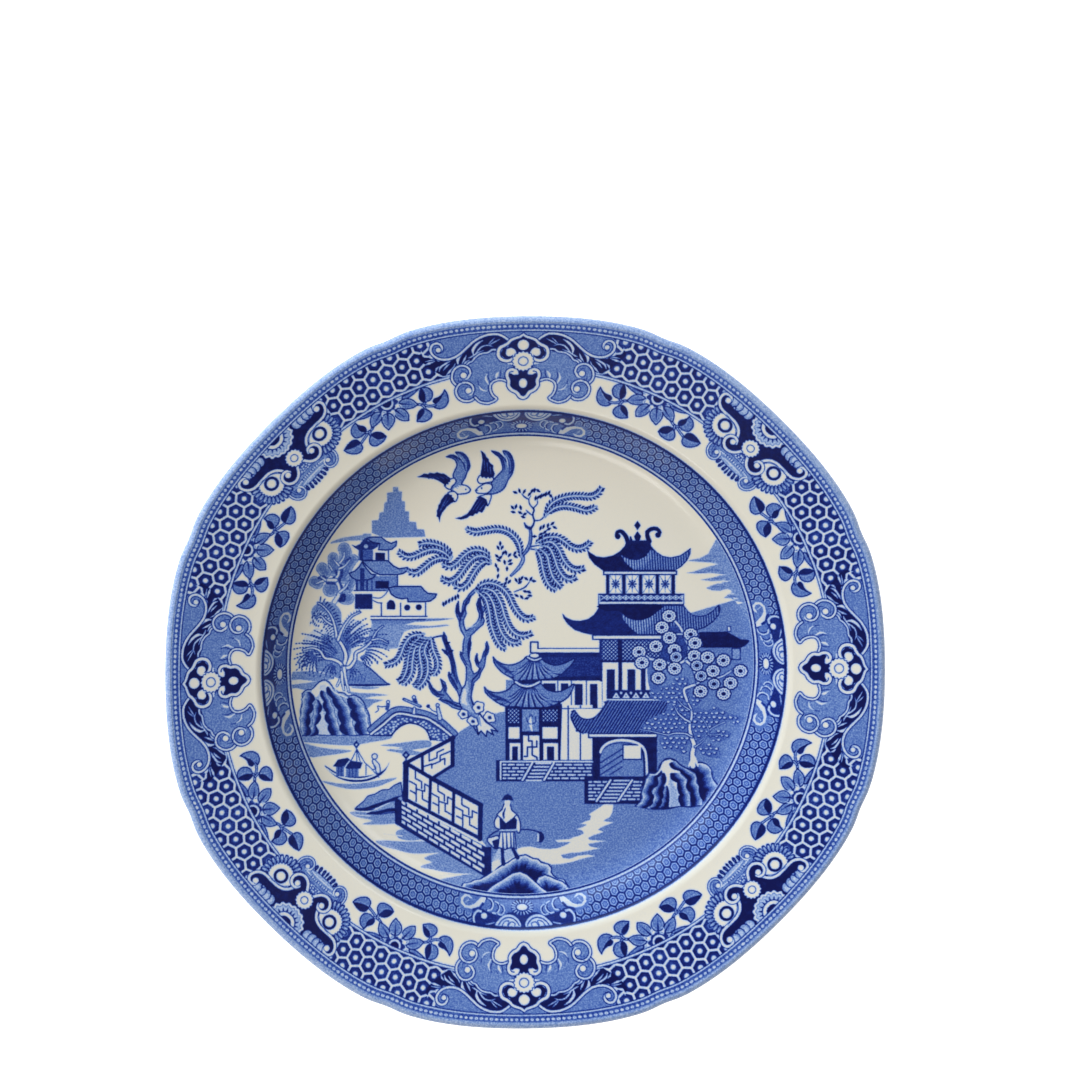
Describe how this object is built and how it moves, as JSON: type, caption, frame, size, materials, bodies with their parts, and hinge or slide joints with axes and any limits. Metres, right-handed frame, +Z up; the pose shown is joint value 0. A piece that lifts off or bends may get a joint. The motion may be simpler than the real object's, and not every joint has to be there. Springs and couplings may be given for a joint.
{
  "type": "dinner plate",
  "caption": "Round china dinner plate with a lobed, notched rim, a curved cavetto, a flat well, a foot ring and blue underglaze transfer prints under a clear glaze.",
  "frame": {"origin": "centre of the foot ring's standing face, on the plate's axis", "axes": "+Z up along the plate's axis, from the foot to the face; +X and +Y run through shallow points of the lobed edge, midway between notches, with +Y at the top of the printed scene"},
  "size_m": [0.2612, 0.2612, 0.0289],
  "materials": {
    "fired_clay": "matt fired earthenware, cream",
    "scene_ink": "cobalt blue transfer print on cream, under clear gloss glaze",
    "band_ink": "dark cobalt blue transfer print, under clear gloss glaze",
    "border_ink": "cobalt blue transfer print, under clear gloss glaze",
    "clear_glaze": "clear gloss glaze with a faint blue cast",
    "recess_glaze": "clear gloss glaze with a faint blue cast"
  },
  "bodies": {
    "root": {"plate_body": "fired_clay", "scene_print": "scene_ink", "band_print": "band_ink", "border_print": "border_ink", "glaze_coat": "clear_glaze", "recess_glaze": "recess_glaze"}
  },
  "joints": []
}
